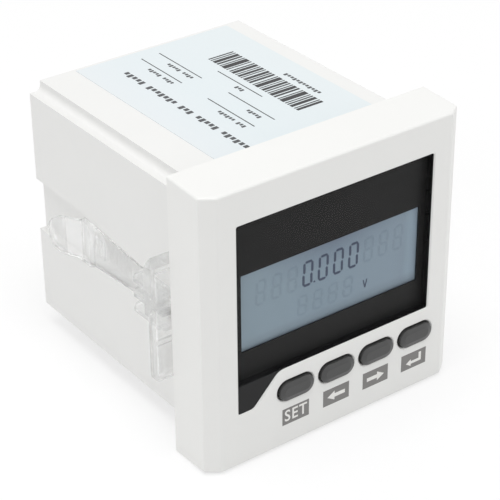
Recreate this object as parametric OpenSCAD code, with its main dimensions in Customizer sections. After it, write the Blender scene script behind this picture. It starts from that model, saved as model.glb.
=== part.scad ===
// Digital panel meter, 72 mm class: liquid crystal display, four keys, two ratchet clips.
// Origin: centre of the bezel's back, where it meets the panel.
// +X is right seen from the front, +Y runs back through the panel, +Z is up.

/* [Bezel] */
// Width and height of the bezel
bezel_size = 72; // [71:0.5:76]
// How far the bezel stands in front of the panel
bezel_depth = 13.5; // [13.2:0.1:16]
// Thickness of the bezel's front plate
plate_t = 3; // [2.9:0.05:3.2]
// Thickness of the bezel's side walls
bezel_wall = 2.2; // [1.8:0.1:2.6]
// Width of the bevel on the left and right front edges
bevel_x = 3.5; // [2:0.1:4.5]
// Depth of the bevel on the left and right front edges
bevel_y = 2.7; // [1.5:0.1:4]
// How much the top and bottom close in towards the front
draft = 0.5; // [0:0.1:0.9]
// Radius on the bezel's edges
edge_r = 0.6; // [0.3:0.1:0.9]

/* [Window] */
// Width of the black border beside the display, on its narrower side
window_side = 1.8; // [1.4:0.1:2.2]
// Height of the window's top edge over the centre
window_top = 26.7; // [25.5:0.1:27.5]
// Height of the window's bottom edge, below the centre
window_bottom = 14.5; // [13:0.1:15.4]
// Height of the bottom of the corner tongue, below the centre
tongue_bottom = 21.8; // [20:0.1:22.5]
// Width of the tongue along its bottom edge
tongue_w = 4.2; // [3:0.1:5]
// Run of the slanted edge between tongue and window
tongue_slope = 7.2; // [6:0.1:7.4]
// How deep the lens lies behind the front
lens_recess = 0.4; // [0.35:0.05:1]
// Thickness of the lens
lens_t = 1.9; // [1.2:0.1:1.9]
// Width of the ledge that the lens is seated on
lens_ledge = 1; // [0.6:0.1:1.2]

/* [Display] */
// Width of the display's clear area
view_w = 51; // [46:0.5:51.5]
// How far the display sits to the right of the centre
view_x = 0.4; // [0:0.1:0.6]
// Height of the display's clear area
view_h = 19.9; // [17:0.1:20.4]
// Height of the middle of the display over the centre
view_z = 2.6; // [2:0.1:3]
// Thickness of the liquid crystal cell
glass_t = 2.6; // [2:0.1:3]
// How far the cell reaches past its clear area at the sides and bottom
glass_margin = 1.1; // [0.8:0.1:1.2]
// Height of the contact ledge along the cell's top
contact_ledge = 2.6; // [2:0.1:3]
// Thickness of the frame's mask in front of the cell
mask_t = 0.5; // [0.4:0.05:0.6]

/* [Keys] */
// Width of a key
key_w = 9.7; // [8.5:0.1:9.8]
// Height of a key
key_h = 4.8; // [4.5:0.1:5.6]
// How far a key stands out of the bezel
key_proud = 0.9; // [0.7:0.1:1.4]
// Distance from key to key
key_pitch = 11.9; // [11.7:0.1:12.2]
// Distance from the window's left edge to the middle of the first key
key_inset = 16; // [15.8:0.1:16.4]
// Height of the keys, below the centre
key_drop = 20.6; // [20:0.1:21]
// Gap round a key in its hole
key_gap = 0.35; // [0.25:0.05:0.4]
// Rounding of a key's front edge
key_round = 0.5; // [0.4:0.05:1.2]
// Width of the slope round the flat of a key's face
key_slope_w = 1.2; // [0.6:0.1:1.6]
// Depth of that slope at the key's rim
key_slope_d = 0.36; // [0.2:0.02:0.5]

/* [Edges] */
// Bevel round the window and round the keys' holes
mouth = 0.3; // [0.1:0.05:0.3]

/* [Housing] */
// Width of the housing behind the panel
housing_w = 62.2; // [61.5:0.1:63]
// Height of the housing
housing_h = 62; // [61:0.1:62.6]
// Depth of the housing behind the panel
housing_depth = 65.5; // [62:0.5:90]
// How far the housing sits above the bezel's centre
housing_rise = 0.4; // [0:0.1:0.6]
// Thickness of the housing's walls
wall = 2; // [1.8:0.1:2.2]
// Thickness of the flange inside the bezel
flange_t = 2.6; // [2.3:0.1:2.8]
// Width of the step along the top left edge
step_w = 3; // [2:0.1:3.6]
// Depth of the step along the top left edge
step_h = 2.6; // [1.6:0.1:3]

/* [Clips] */
// Height of the clips' middle over the centre
clip_z = -1.3; // [-1.6:0.1:0.6]
// Depth of the channel in each side wall
channel_depth = 1.8; // [1.7:0.05:2]
// Height of the channel
channel_h = 14; // [13.6:0.1:15]
// Thickness of the lips that hold a clip
lip_t = 0.8; // [0.7:0.05:0.85]
// Distance from the housing's back to the lips
lip_setback = 21; // [19:0.5:22]
// Height of the mouth between the lips at the back
mouth_back = 12.8; // [12.4:0.1:13]
// Height of the mouth between the lips at the front
mouth_front = 8.6; // [8:0.1:9.4]
// Where the mouth's taper ends, behind the panel's face
taper_end = 19; // [18.5:0.5:22]
// Tooth pitch of the ratchet
tooth_pitch = 1.5; // [1.2:0.1:2]
// Tooth height of the ratchet
tooth_h = 0.45; // [0.3:0.05:0.5]
// Clearance between the clip and its channel
clip_gap = 0.25; // [0.15:0.05:0.3]
// Distance from the bezel's back to the foot
foot_y = 1.5; // [1.4:0.1:4]
// Thickness of the foot along the housing, at its outer edge
foot_t = 2.8; // [2.4:0.1:4.5]
// Thickness of the foot near the housing
foot_root_t = 4.5; // [2.8:0.1:5]
// Thickness of the leg under the foot's thick part
leg_t = 1.4; // [1.2:0.1:2]
// How far the thick part's lower edge is above the clip's middle, at the outer edge
leg_top = 2.2; // [1:0.1:4]
// How far the foot reaches out from the housing
foot_reach = 9; // [6:0.1:11]
// Height of the foot
foot_h = 29.5; // [24:0.5:30]
// How far the ribs behind the foot stand out from the housing
rib_rise = 4.4; // [3:0.1:5]
// Length of the ribs behind the foot
rib_l = 11.3; // [9:0.1:12]
// Thickness of a rib
rib_w = 1.05; // [0.8:0.05:1.4]
// Distance from rib to rib
rib_pitch = 3.95; // [3:0.05:4]
// Thickness of the tongue
tongue_t = 1.05; // [0.9:0.05:1.2]
// Length of the finger tab
tab_len = 13; // [9:0.5:14]
// How far the finger tab stands out at its end
tab_rise = 4.4; // [2:0.1:5]
// How far the cross bar stands out of the tongue
bar_rise = 0.9; // [0.4:0.1:1.2]
// Length of the cross bar along the tongue
bar_l = 4.8; // [3:0.1:5.5]
// Height of the finger tab
tab_h = 10.2; // [8:0.1:10.4]

/* [Terminals] */
// Number of poles in each terminal block
poles = 5; // [3:1:5]
// Distance from pole to pole
pole_pitch = 7.62; // [7:0.01:7.62]
// Size of a terminal block from its wire side to its back
block_d = 11; // [10.6:0.1:12]
// How far the blocks stand out of the rear cover
block_out = 7.5; // [7:0.1:9]
// Distance from the housing's middle to a block's wire side
block_reach = 21.5; // [21:0.1:23]
// Radius of a wire entry
entry_r = 1.5; // [1.2:0.05:1.55]
// Length of a wire entry
entry_l = 3; // [2.6:0.1:3.2]

/* [Rear cover] */
// Thickness of the rear cover
cover_t = 2.4; // [2:0.1:3]
// Gap round the rear cover
cover_gap = 0.2; // [0.1:0.05:0.4]
// Thickness of the circuit boards
board_t = 1.6; // [1.2:0.1:1.8]

/* [Label] */
// Left edge of the label, from the housing's middle
label_left = 18.6; // [14:0.1:26]
// Right edge of the label, from the housing's middle
label_right = 26.2; // [20:0.1:29]
// Bare strip of housing behind the label
label_back = 1; // [0.5:0.1:4]
// Thickness of the label
label_t = 0.12; // [0.1:0.01:0.2]

/* [Hidden] */
$fn = 32;

eps = 0.01;
slack = 0.2;
seat = 0.1;

// Planes across the depth
front_y = -bezel_depth;
plate_y = front_y + plate_t;
lens_y = front_y + lens_recess;
mask_y = lens_y + lens_t + seat;
glass_y = mask_y + mask_t + seat;
board_back_y = -flange_t;
board_y = board_back_y - board_t;

// Bezel
bezel_half = bezel_size / 2;
cavity_half = bezel_half - bezel_wall;
bevel_start_y = front_y + bevel_y;
boss_r = 2.2;
boss_at = cavity_half - boss_r - 0.6;
pilot_r = 0.95;
pilot_floor = 0.5;
snap_l = 16;
snap_h = 0.5;
snap_t = 0.8;
snap_y = 1;
snap_gap = 0.3;

// Window and display
window_r = view_x + view_w / 2 + window_side;
pocket_gap = 0.2;
corner_r = 0.5;
knee_r = 3.5;
heel_r = 2;
glass_w = view_w + 2 * glass_margin;
glass_low = view_z - view_h / 2 - glass_margin;
glass_high = view_z + view_h / 2 + glass_margin + contact_ledge;
glass_h = glass_high - glass_low;
glass_mid = (glass_high + glass_low) / 2;
frame_wall = 1;
strip_gap = 0.3;
guide_t = 2.2;
guide_foot_w = 3;
screw_pan_r = 1.9;
screw_pan_t = 1.3;
screw_grip = 4;

// Keys and their switches
hole_w = key_w + 2 * key_gap;
hole_h = key_h + 2 * key_gap;
collar_w = min(hole_w + 1.1, key_pitch - 0.4);
collar_h = hole_h + 1.9;
collar_t = 1;
collar_y = plate_y + 0.15;
switch_size = 6;
switch_h = 3.5;
cap_l = collar_y - front_y + key_proud;
plunger_r = 1.7;
plunger_out = 1;
plunger_in = 1.4;
plunger_gap = 0.15;
switch_y = board_y - switch_h;
plunger_y = switch_y - plunger_out;
switch_bore = 2.2;

// Housing
housing_half = housing_w / 2;
housing_low = housing_rise - housing_h / 2;
housing_high = housing_rise + housing_h / 2;
inner_half = housing_half - wall;
housing_r = 0.6;
step_r = 1.6;
floor_x = housing_half - channel_depth;
lip_x = housing_half - lip_t;
boss_x = floor_x - wall;
channel_front_y = 1;
lip_y = housing_depth - lip_setback;
rack_w = 5.2;
rack_start = 12;
rack_l = lip_y - rack_start - 2;
teeth = floor(rack_l / tooth_pitch);
cover_y = housing_depth - cover_t;
post_r = 2.8;
post_x = inner_half - post_r + 0.3;
post_z = 12.5;
post_l = 14;
cover_pilot_r = 1.3;
cover_pilot_l = 10;
cover_screw_r = 1.15;
cover_head_r = 2.2;
cover_head_t = 1.4;
cover_grip = 7;

// Boards inside the housing
main_z = housing_low + wall + 2.6;
main_half = inner_half - 1.6;
main_front_y = 3;
terminal_back_y = cover_y - 4.5;
terminal_front_y = terminal_back_y - board_t;
main_back_y = terminal_front_y - 0.4;
guide_rib_t = 1.2;
guide_rib_grip = 1.5;
terminal_half = post_x - post_r - 0.9;
terminal_low = main_z + board_t + 0.3;
terminal_high = housing_high - wall - 2.5;
main_top = main_z + board_t;
header_h = 2.5;
header_inset = 4;
pins = 8;
pin_size = 0.64;
pin_pitch = 2.4;
header_w = pins * pin_pitch + 0.8;

// Transformer: a laminated core with two slots round the coil's leg
core_w = 28;
core_h = 24;
core_t = 10;
core_mid_y = (main_front_y + main_back_y) / 2;
leg_w = 8;
slot_w = 6;
slot_h = 14;
coil_wall = 4.5;
coil_gap = 0.7;
coil_w = leg_w + 2 * (slot_w - coil_gap);
coil_h = slot_h - coil_gap;

// Other parts on the boards
cap_r = 4;
cap_h = 14;
big_cap_r = 5;
big_cap_h = 18;
cap_gap = 3.5;
cap_x = -main_half + 7.5;
big_cap_inset = 15;
big_cap_y = main_front_y + big_cap_inset;
cap_y = big_cap_y + big_cap_r + cap_r + cap_gap;
sense_w = 9.5;
sense_l = 18;
sense_h = 14;
sense_right = main_half - 2.5;
sense_inset = 10.6;
sense_back = main_back_y - sense_inset;
chip_size = 10;
chip_t = 1.4;
chip_side = 10.5;
chip_inset = 13;
chip_x = main_half - chip_side;
chip_y = main_front_y + chip_inset;
lead_l = 1;
lead_t = 0.25;
lead_margin = 0.8;

// Terminal blocks
block_w = poles * pole_pitch + 1.2;
block_y = housing_depth + block_out;
screw_head_r = 1.9;
screw_head_t = 1.5;
screw_depth = 0.6;
well_bottom = block_y - screw_depth - screw_head_t - seat;
cage_w = 5.2;
cage_t = 1.2;
cage_top = well_bottom - 0.4;
cage_h = 2 * cage_t + 2 * entry_r + 0.2;
cage_gap = 0.2;
cage_d = block_d - entry_l - 1.8 - 2 * cage_gap;
groove_w = 0.8;
groove_t = 1.2;
cage_mid = block_reach - entry_l - cage_gap - cage_d / 2;
entry_y = cage_top - cage_t - entry_r - 0.1;
clamp_screw_r = 1.4;
clamp_hole_r = 1.55;

// Clips, drawn for the right side
rail_h = channel_h - 2 * clip_gap;
relief_w = rack_w + 2 * clip_gap + 0.1;
rail_in = floor_x + 0.1;
rail_out = lip_x - 0.15;
tongue_out = housing_half + clip_gap;
tongue_in = tongue_out - tongue_t;
rail_end = lip_y - 4.5;
clip_front = foot_y + 1;
foot_back = foot_y + foot_root_t;
rib_back = foot_back + rib_l;
rib_x = housing_half + rib_rise;
ribs = 3;
rib_base = 1;
rib_slope = 1.4;
tongue_play = 0.05;
slit = 0.4;
pawl_teeth = 3;
foot_r = 1.8;
foot_rim = 1.3;
foot_hollow = 0.7;
root_w = 5.8;
leg_slope = 1.33;

// An outline drawn in X and Z, extruded from y0 to y1
module along_y(y0, y1) {
    translate([0, y1, 0]) rotate([90, 0, 0]) linear_extrude(y1 - y0) children();
}

// An outline drawn in Y and Z, extruded from x0 to x1
module along_x(x0, x1) {
    translate([x0, 0, 0]) rotate([90, 0, 90]) linear_extrude(x1 - x0) children();
}

// A rod along Y
module rod_y(r, y0, y1) {
    along_y(y0, y1) circle(r);
}

// A box from its low corner to its high corner
module block(low, high) {
    translate(low) cube(high - low);
}

module rounded_rect(w, h, r) {
    square([w - 2 * r, h], center = true);
    square([w, h - 2 * r], center = true);
    for (x = [-1, 1], z = [-1, 1])
        translate([x * (w / 2 - r), z * (h / 2 - r)]) circle(r);
}

function unit(v) = v / norm(v);
function turned(v) = [v.y, -v.x];

// The corners of a clockwise outline moved outwards by g
function grown(pts, g) = [
    for (i = [0 : len(pts) - 1])
        let (
            here = pts[i],
            before = pts[(i + len(pts) - 1) % len(pts)],
            after = pts[(i + 1) % len(pts)],
            n1 = -turned(unit(here - before)),
            n2 = -turned(unit(after - here))
        )
        here + g * (n1 + n2) / (1 + n1 * n2)
];

// The same outline with each corner rounded to its own radius
function rounded(pts, radii, steps = 6) = [
    for (i = [0 : len(pts) - 1])
        let (
            here = pts[i],
            to_before = unit(pts[(i + len(pts) - 1) % len(pts)] - here),
            to_after = unit(pts[(i + 1) % len(pts)] - here),
            half = acos(to_before * to_after) / 2,
            centre = here + unit(to_before + to_after) * radii[i] / sin(half),
            start = here + to_before * radii[i] / tan(half) - centre,
            stop = here + to_after * radii[i] / tan(half) - centre
        )
        for (k = [0 : steps])
            let (mid = start * sin((1 - k / steps) * (180 - 2 * half))
                    + stop * sin(k / steps * (180 - 2 * half)))
            centre + unit(mid) * radii[i]
];

// The window's outline with its corner tongue, grown by g
function window_points(g) = let (heel_x = -window_r + tongue_w) rounded(
    grown([
        [-window_r, window_top], [window_r, window_top], [window_r, -window_bottom],
        [heel_x + tongue_slope, -window_bottom], [heel_x, -tongue_bottom],
        [-window_r, -tongue_bottom]
    ], g),
    [corner_r, corner_r, corner_r, knee_r, heel_r, corner_r]
);

module window_outline(g = 0) polygon(window_points(g));

function key_x(i) = -window_r + key_inset + i * key_pitch;

module stadium(w, h) {
    square([w - h, h], center = true);
    for (x = [-1, 1]) translate([x * (w - h) / 2, 0]) circle(h / 2);
}

// Places its children at each of four corners
module corners(x, z, z0 = 0) {
    for (i = [-1, 1], k = [-1, 1]) translate([i * x, 0, z0 + k * z]) children();
}

// ---- Front ----

// The bezel's outside: bevelled at left and right, rounded and slightly drafted
module bezel_block() {
    r = edge_r;
    front_z = bezel_half - draft - r;
    hull() {
        along_y(-eps, 0) rounded_rect(bezel_size, bezel_size, r);
        for (x = [-1, 1], z = [-1, 1]) {
            translate([x * (bezel_half - r), bevel_start_y, z * front_z]) sphere(r, $fn = 20);
            translate([x * (bezel_half - bevel_x), front_y + r, z * front_z]) sphere(r, $fn = 20);
        }
    }
}

// What the bevel round the window takes off: rings of points, each closed to a middle point
module window_mouth() {
    wide = [for (p = window_points(2 * mouth)) [p.x, front_y - mouth, p.y]];
    narrow = [for (p = window_points(0)) [p.x, front_y + mouth, p.y]];
    middle = [for (y = [-mouth, mouth]) [-window_r / 2, front_y + y, 0]];
    n = len(wide);
    polyhedron(concat(wide, narrow, middle), [
        for (i = [0 : n - 1]) let (j = (i + 1) % n)
            each [[2 * n, i, j], [i, n + i, n + j], [i, n + j, j], [2 * n + 1, n + j, n + i]]
    ]);
}

// What the bevel round a key's hole takes off
module key_mouth() {
    half = hole_h / 2;
    span = hole_w - hole_h;
    for (x = [-1, 1]) translate([x * span / 2, front_y - mouth, 0]) rotate([-90, 0, 0])
        cylinder(h = 2 * mouth, r1 = half + 2 * mouth, r2 = half);
    along_x(-span / 2, span / 2) polygon([
        [front_y - mouth, half + 2 * mouth], [front_y + mouth, half],
        [front_y + mouth, -half], [front_y - mouth, -half - 2 * mouth]
    ]);
}

module front_bezel() color("gainsboro") {
    difference() {
        bezel_block();
        window_mouth();
        along_y(plate_y, 1) square(2 * cavity_half, center = true);
        along_y(front_y - 1, lens_y) window_outline();
        along_y(lens_y, plate_y + 1) window_outline(lens_ledge + pocket_gap);
        for (i = [0 : 3]) translate([key_x(i), 0, -key_drop]) {
            along_y(front_y - 1, plate_y + 1) stadium(hole_w, hole_h);
            key_mouth();
        }
        for (a = [0 : 90 : 270]) rotate([0, a, 0]) snap_groove();
    }
    difference() {
        corners(boss_at, boss_at) rod_y(boss_r, plate_y - 1, board_y);
        corners(boss_at, boss_at) rod_y(pilot_r, plate_y + pilot_floor, board_y + 1);
    }
}

module snap_groove() {
    half = snap_l / 2 + snap_gap;
    block([-half, -snap_y - snap_t - snap_gap, cavity_half - eps],
        [half, -snap_y + snap_gap, cavity_half + snap_h + snap_gap]);
}

module window_lens() color("dimgray", 0.6)
    along_y(lens_y, lens_y + lens_t) window_outline(lens_ledge);

// Black frame: a mask across the whole window and a box round the cell
module lcd_frame() color([0.12, 0.12, 0.12]) {
    difference() {
        along_y(mask_y, mask_y + mask_t) window_outline(lens_ledge);
        translate([view_x, 0, view_z]) along_y(mask_y - 1, mask_y + 2)
            square([view_w, view_h], center = true);
    }
    translate([view_x, 0, glass_mid]) difference() {
        along_y(mask_y + mask_t - eps, board_y)
            square([glass_w + 2 * (slack + frame_wall), glass_h + 2 * (slack + frame_wall)], center = true);
        along_y(mask_y - 1, board_y + 1) square([glass_w + 2 * slack, glass_h + 2 * slack], center = true);
    }
}

module lcd_cell() color("lightsteelblue")
    translate([view_x, 0, glass_mid]) along_y(glass_y, glass_y + glass_t)
        square([glass_w, glass_h], center = true);

// Rubber strip that joins the cell's contact ledge to the board
module contact_strip() color("hotpink")
    translate([view_x, 0, 0])
        block([-view_w / 2, glass_y + glass_t, glass_high - contact_ledge + strip_gap],
            [view_w / 2, board_y, glass_high - strip_gap]);

// Light guide behind the cell, on two feet
module backlight() color("ivory") translate([view_x, 0, 0]) {
    low = glass_low + strip_gap;
    high = glass_high - contact_ledge - strip_gap;
    guide_y = glass_y + glass_t;
    foot = guide_foot_w / 2;
    block([-view_w / 2, guide_y, low], [view_w / 2, guide_y + guide_t, high]);
    for (x = [-1, 1]) translate([x * (view_w / 2 - foot), 0, 0])
        block([-foot, guide_y + guide_t - eps, low], [foot, board_y, high]);
}

module display_board() color("darkgreen") {
    half = cavity_half - 0.4;
    difference() {
        along_y(board_y, board_back_y) square(2 * half, center = true);
        corners(boss_at, boss_at) rod_y(pilot_r + 0.25, board_y - 1, board_back_y + 1);
    }
}

// A screw along Y with a cross recess, its head resting on Y = 0
module pan_screw(head_r, head_t, shank_r, length) {
    difference() {
        rod_y(head_r, 0, head_t);
        for (a = [0, 90]) rotate([0, a, 0])
            block([-head_r * 0.6, head_t * 0.5, -0.25], [head_r * 0.6, head_t + 1, 0.25]);
    }
    rod_y(shank_r, -length, eps);
}

module display_screws() color("silver")
    corners(boss_at, boss_at) translate([0, board_back_y, 0])
        pan_screw(screw_pan_r, screw_pan_t, pilot_r - 0.15, board_t + screw_grip);

// A square chip that lies on Y = 0, with a row of leads along each side
module gull_chip(size, t) {
    long = size / 2 + lead_l;
    short = size / 2 - lead_margin;
    block([-size / 2, seat, -size / 2], [size / 2, t, size / 2]);
    block([-long, 0, -short], [long, lead_t, short]);
    block([-short, 0, -long], [short, lead_t, long]);
}

module display_chip() color([0.15, 0.15, 0.15])
    translate([view_x, board_back_y, view_z]) gull_chip(chip_size, chip_t);

module key_switches() color("dimgray")
    for (i = [0 : 3]) translate([key_x(i), 0, -key_drop]) difference() {
        along_y(switch_y, board_y) square(switch_size, center = true);
        rod_y(plunger_r + plunger_gap, switch_y - 1, switch_y + switch_bore);
    }

// Half section of a key's cap, from its middle to its rim: flat, slope, round edge, side
module cap_section(half) {
    difference() {
        union() {
            difference() {
                square([half, cap_l]);
                translate([half - key_round, -eps]) square(key_round + eps);
            }
            translate([half - key_round, key_round]) circle(key_round);
        }
        translate([half - key_slope_w, 0]) polygon([
            [0, 0], [2 * key_slope_w, 2 * key_slope_d], [2 * key_slope_w, -key_round], [0, -key_round]
        ]);
    }
}

// One key: rounded cap, collar behind the plate and a stem down to its switch
module key(i) translate([key_x(i), 0, -key_drop]) {
    half = key_h / 2;
    span = key_w - key_h;
    cap_y = collar_y - cap_l;
    for (x = [-1, 1]) translate([x * span / 2, cap_y, 0]) rotate([-90, 0, 0])
        rotate_extrude($fn = 40) intersection() {
            cap_section(half);
            square([half, cap_l]);
        }
    along_x(-span / 2, span / 2) translate([cap_y, 0])
        for (s = [0, 1]) mirror([0, s]) mirror([1, -1]) cap_section(half);
    along_y(collar_y, collar_y + collar_t) stadium(collar_w, collar_h);
    rod_y(plunger_r, collar_y + collar_t - eps, plunger_y);
}

module key_set() color("dimgray") key(0);
module key_left_arrow() color("dimgray") key(1);
module key_right_arrow() color("dimgray") key(2);
module key_enter() color("dimgray") key(3);

module plunger(i) color("black")
    translate([key_x(i), 0, -key_drop]) rod_y(plunger_r, plunger_y, switch_y + plunger_in);

// ---- Housing ----

// The housing's inside, grown by g: clear of the channel bosses and the stepped corner
module cavity_outline(g = 0) {
    difference() {
        translate([0, housing_rise])
            square([2 * (inner_half + g), housing_h - 2 * (wall - g)], center = true);
        for (s = [-1, 1]) translate([s * (boss_x + g + wall), clip_z])
            square([2 * wall, channel_h + 2 * (wall - g)], center = true);
        translate([-inner_half - g - 1, housing_high - step_h - wall + g])
            square([step_w + 1, step_h + wall]);
    }
}

// The step along the top left edge, hollowed at its root
module step_cut() {
    w = step_w;
    h = step_h;
    r = min(step_r, w, h);
    translate([-housing_half, housing_high]) {
        translate([-1, -h]) square([1 + w - r, h + 1]);
        translate([-1, -h + r]) square([1 + w, h - r + 1]);
        translate([w - r, -h + r]) circle(r);
    }
}

// Half height of the mouth between the lips at depth y
function mouth(y) = y >= lip_y ? mouth_back / 2
    : y <= taper_end ? mouth_front / 2
    : mouth_front / 2 + (mouth_back - mouth_front) / 2 * (y - taper_end) / (lip_y - taper_end);

// Cut for one side's channel: a floor pocket, a tapered mouth between two lips
module channel_cut() {
    half = channel_h / 2;
    along_x(floor_x, lip_x) translate([channel_front_y, clip_z - half]) square([housing_depth, channel_h]);
    along_x(lip_x - eps, housing_half + 1) translate([0, clip_z]) {
        translate([lip_y, -half]) square([housing_depth, channel_h]);
        polygon([
            [channel_front_y, -mouth(0)], [taper_end, -mouth(0)], [lip_y + eps, -mouth(lip_y)],
            [lip_y + eps, mouth(lip_y)], [taper_end, mouth(0)], [channel_front_y, mouth(0)]
        ]);
    }
}

// Saw teeth on the channel's floor, steep side towards the front
module rack() {
    translate([0, 0, clip_z - rack_w / 2]) linear_extrude(rack_w) polygon(concat(
        [[floor_x - 0.5, rack_start]],
        [for (i = [0 : teeth - 1], p = [[0, 0], [tooth_h, 0]])
            [floor_x + p.x, rack_start + i * tooth_pitch]],
        [[floor_x, rack_start + teeth * tooth_pitch], [floor_x - 0.5, rack_start + teeth * tooth_pitch]]
    ));
}

module housing() color("whitesmoke") {
    flange_half = cavity_half - slack;
    difference() {
        union() {
            along_y(-eps, housing_depth) translate([0, housing_rise])
                rounded_rect(housing_w, housing_h, housing_r);
            along_y(-flange_t, 0) square(2 * flange_half, center = true);
            for (a = [0 : 90 : 270]) rotate([0, a, 0])
                block([-snap_l / 2, -snap_y - snap_t, flange_half - 1],
                    [snap_l / 2, -snap_y, flange_half + snap_h]);
        }
        along_y(-flange_t - 1, housing_depth + 1) cavity_outline();
        along_y(eps, housing_depth + 1) step_cut();
        corners(boss_at, boss_at)
            rod_y(screw_pan_r + 0.5, -flange_t - 1, board_back_y + screw_pan_t + 0.3);
        channel_cut();
        mirror([1, 0, 0]) channel_cut();
    }
    rack();
    mirror([1, 0, 0]) rack();
    for (s = [0, 1]) mirror([s, 0, 0]) {
        board_guides();
        cover_posts();
    }
}

// Ribs on a side wall that the main board slides between
module board_guides() {
    for (z = [main_z - seat - guide_rib_t, main_top + seat])
        block([main_half - guide_rib_grip, main_front_y, z],
            [inner_half + eps, main_back_y, z + guide_rib_t]);
}

// Screw posts for the rear cover on a side wall
module cover_posts() {
    for (k = [-1, 1]) translate([post_x, 0, clip_z + k * post_z]) difference() {
        rod_y(post_r, cover_y - post_l, cover_y);
        rod_y(cover_pilot_r, cover_y - cover_pilot_l, cover_y + 1);
    }
}

module rear_cover() color("whitesmoke")
    difference() {
        along_y(cover_y, housing_depth) cavity_outline(-cover_gap);
        for (s = [-1, 1]) translate([0, 0, housing_rise + s * (block_reach - block_d / 2)])
            along_y(cover_y - 1, housing_depth + 1) square([block_w + 0.5, block_d + 0.5], center = true);
        corners(post_x, post_z, clip_z) rod_y(cover_pilot_r + 0.15, cover_y - 1, housing_depth + 1);
    }

module cover_screws() color("silver")
    corners(post_x, post_z, clip_z) translate([0, housing_depth, 0])
        pan_screw(cover_head_r, cover_head_t, cover_screw_r, cover_t + cover_grip);

module rating_label() color("lightcyan")
    block([-label_left, seat, housing_high],
        [label_right, housing_depth - label_back, housing_high + label_t]);

// ---- Clips ----

// Half height of the clip's tongue at depth y
function tongue_half(y) = mouth(y) - clip_gap - tongue_play;

// Outline of the tongue between two depths, in Y and Z
module tongue_outline(y0, y1) {
    mids = y0 < taper_end && y1 > taper_end ? [taper_end] : [];
    ys = concat([y0], mids, [y1]);
    polygon(concat(
        [for (y = ys) [y, tongue_half(y)]],
        [for (i = [len(ys) - 1 : -1 : 0]) [ys[i], -tongue_half(ys[i])]]
    ));
}

// Two rails that run under the lips, parted from the tongue by a slit
module clip_rails() {
    difference() {
        along_x(rail_in, rail_out) translate([clip_front, clip_z - rail_h / 2])
            square([rail_end - clip_front, rail_h]);
        along_x(rail_in - 1, rail_out + 1) translate([0, clip_z]) {
            polygon([
                [rib_back, tongue_half(rib_back) + slit], [rail_end + 1, tongue_half(rail_end) + slit],
                [rail_end + 1, -tongue_half(rail_end) - slit], [rib_back, -tongue_half(rib_back) - slit]
            ]);
            translate([clip_front - 1, -relief_w / 2]) square([rail_end, relief_w]);
        }
    }
}

// Web between the lips, thick under the ribs and thin along the tongue
module clip_web() {
    along_x(floor_x + tooth_h + 0.2, tongue_out) translate([0, clip_z]) tongue_outline(clip_front, rib_back);
    along_x(tongue_in, tongue_out) translate([0, clip_z]) tongue_outline(rib_back - 1, rail_end);
    for (i = [1 : pawl_teeth])
        translate([0, rail_end - i * tooth_pitch, clip_z - rack_w / 2 + 0.2])
            linear_extrude(rack_w - 0.4) polygon([
                [tongue_in + eps, 0], [floor_x + tooth_h + 0.1, 0], [tongue_in + eps, tooth_pitch]
            ]);
}

// Bar across the tongue that a finger or a screwdriver catches, bevelled at its front
module cross_bar() {
    front = rail_end - bar_rise;
    half = tongue_half(front);
    translate([0, 0, clip_z - half]) linear_extrude(2 * half) polygon([
        [tongue_in, front], [tongue_out, front], [tongue_out + bar_rise, front + bar_rise],
        [tongue_out + bar_rise, front + bar_l], [tongue_in, front + bar_l]
    ]);
}

// Finger tab: rises off the tongue on half a cosine wave and ends in a half round
module finger_tab() {
    steps = 14;
    tab_end = rail_end + tab_len;
    wave = [for (k = [0 : steps])
        [tab_rise * (1 - cos(180 * k / steps)) / 2, rail_end + tab_len * k / steps]];
    outer = [for (p = wave) [tongue_out + p.x, p.y]];
    inner = [for (k = [steps : -1 : 0]) [tongue_in + wave[k].x, wave[k].y]];
    intersection() {
        translate([0, 0, clip_z - tab_h / 2]) linear_extrude(tab_h)
            polygon(concat([[tongue_out, rail_end - 1]], outer, inner, [[tongue_in, rail_end - 1]]));
        along_x(tongue_in - 1, tongue_out + tab_rise + 1) translate([0, clip_z]) {
            translate([rail_end - 2, -tab_h / 2]) square([tab_len + 2 - tab_h / 2, tab_h]);
            translate([tab_end - tab_h / 2, 0]) circle(tab_h / 2);
        }
    }
}

// Ribs that brace the foot, on a base over the web, sloped down at their back ends
module clip_ribs() {
    base_half = (ribs - 1) / 2 * rib_pitch + rib_w / 2;
    base_x = tongue_out + rib_base;
    along_x(tongue_out - eps, base_x) translate([foot_back - eps, clip_z - base_half])
        square([rib_back - foot_back + eps, 2 * base_half]);
    for (i = [0 : ribs - 1]) translate([0, 0, clip_z - base_half + i * rib_pitch])
        linear_extrude(rib_w) polygon([
            [base_x - eps, foot_back - eps], [rib_x, foot_back - eps], [rib_x, rib_back - rib_slope],
            [rib_x - rib_slope, rib_back], [base_x - eps, rib_back]
        ]);
}

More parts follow.
